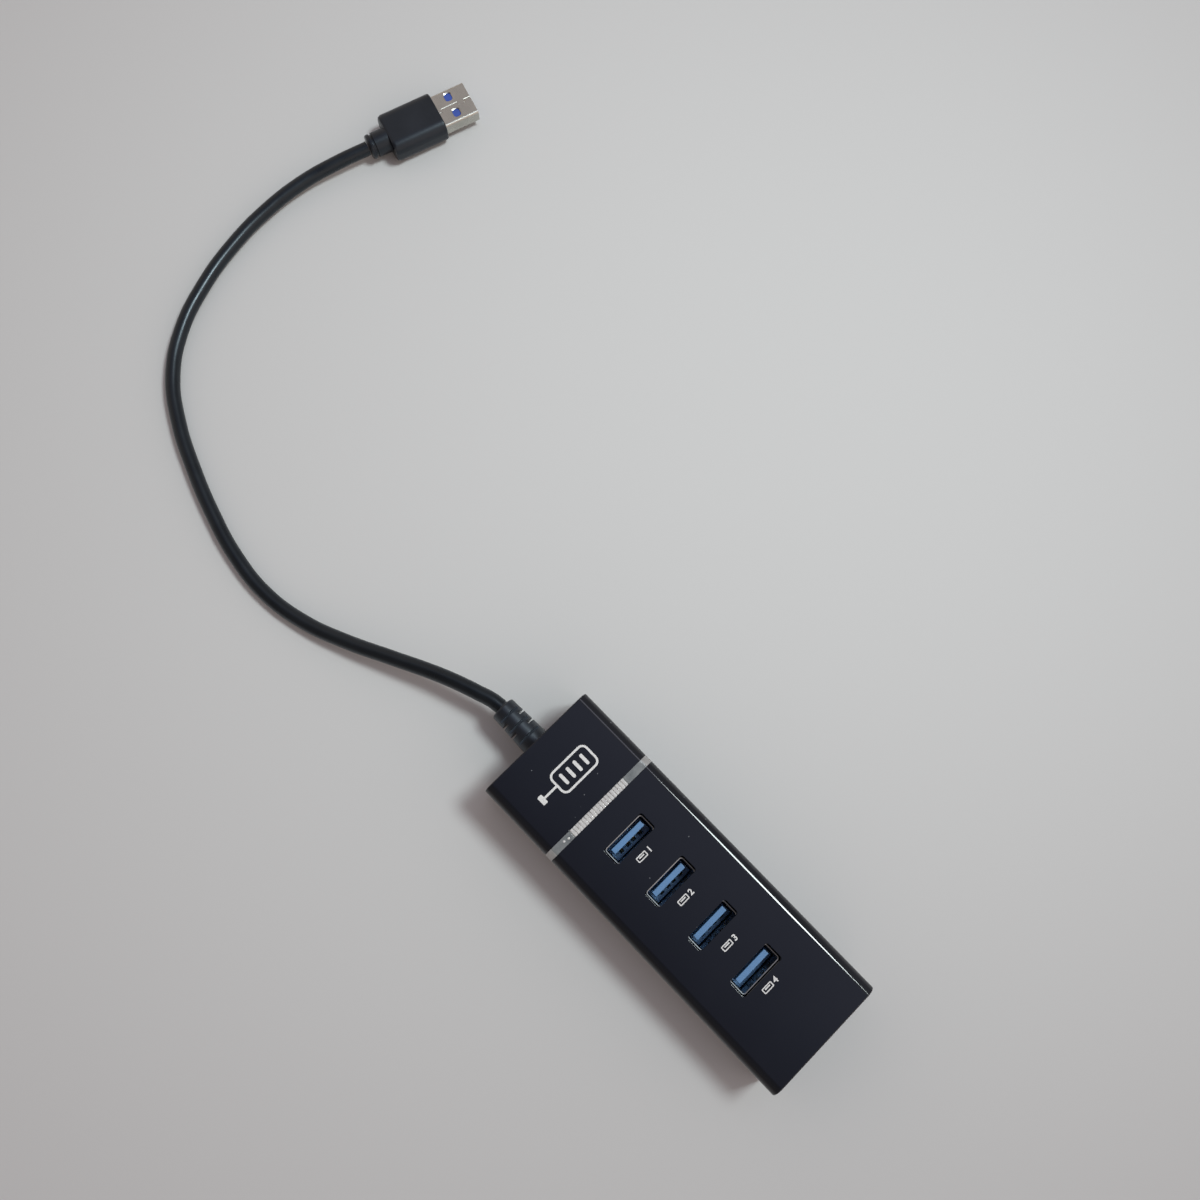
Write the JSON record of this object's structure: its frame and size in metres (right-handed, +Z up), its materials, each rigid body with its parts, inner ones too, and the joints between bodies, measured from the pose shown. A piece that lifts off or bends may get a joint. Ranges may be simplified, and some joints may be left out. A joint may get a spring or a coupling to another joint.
{
  "type": "usb hub",
  "caption": "Bar-shaped USB 3.0 hub with upright ports in its glossy top, a clear light strip across it, and a captive cable ending in a USB-A plug.",
  "frame": {"origin": "under the middle of the case, on the surface that it stands on", "axes": "+X along the case, away from the cable; +Y across it; +Z up, out of the ports"},
  "size_m": [0.2881, 0.1556, 0.0215],
  "materials": {
    "cover_plastic": "high gloss black with fine dust and hairline scratches",
    "case_plastic": "fine-textured black",
    "light_guide_plastic": "clear, ribbed in the middle",
    "board_laminate": "green solder mask",
    "chip_epoxy": "moulded epoxy",
    "led_resin": "pale lens",
    "fuse_resin": "green coating",
    "bright_metal": "bright nickel plate",
    "plug_metal": "nickel plate with fine scratches",
    "port_plastic": "blue moulding",
    "plug_plastic": "blue moulding",
    "contact_metal": "gold plate",
    "cord_jacket": "semi-gloss black PVC",
    "cord_rubber": "satin black",
    "plug_grip": "satin black, fine spark texture",
    "wire_red": "insulation",
    "wire_black": "insulation",
    "wire_green": "insulation",
    "wire_white": "insulation",
    "wire_blue": "insulation",
    "wire_orange": "insulation"
  },
  "bodies": {
    "root": {"bottom_case": "case_plastic", "top_cover": "cover_plastic", "light_guide": "light_guide_plastic", "circuit_board": "board_laminate", "hub_controller": "chip_epoxy", "crystal": "bright_metal", "voltage_regulator": "chip_epoxy", "capacitor_1": "bright_metal", "capacitor_2": "bright_metal", "status_led_1": "led_resin", "status_led_2": "led_resin", "port_1_shell": "bright_metal", "port_1_insulator": "port_plastic", "port_1_contact_1": "contact_metal", "port_1_contact_2": "contact_metal", "port_1_contact_3": "contact_metal", "port_1_contact_4": "contact_metal", "port_1_fuse": "fuse_resin", "port_2_shell": "bright_metal", "port_2_insulator": "port_plastic", "port_2_contact_1": "contact_metal", "port_2_contact_2": "contact_metal", "port_2_contact_3": "contact_metal", "port_2_contact_4": "contact_metal", "port_2_fuse": "fuse_resin", "port_3_shell": "bright_metal", "port_3_insulator": "port_plastic", "port_3_contact_1": "contact_metal", "port_3_contact_2": "contact_metal", "port_3_contact_3": "contact_metal", "port_3_contact_4": "contact_metal", "port_3_fuse": "fuse_resin", "port_4_shell": "bright_metal", "port_4_insulator": "port_plastic", "port_4_contact_1": "contact_metal", "port_4_contact_2": "contact_metal", "port_4_contact_3": "contact_metal", "port_4_contact_4": "contact_metal", "port_4_fuse": "fuse_resin", "wire_power": "wire_red", "wire_ground": "wire_black", "wire_data_plus": "wire_green", "wire_data_minus": "wire_white", "wire_pair_receive": "wire_blue", "wire_pair_transmit": "wire_orange", "strain_relief": "cord_rubber", "cable": "cord_jacket", "plug_overmold": "plug_grip", "plug_shell": "plug_metal", "plug_insulator": "plug_plastic", "plug_contact_1": "contact_metal", "plug_contact_2": "contact_metal", "plug_contact_3": "contact_metal", "plug_contact_4": "contact_metal"}
  },
  "joints": []
}
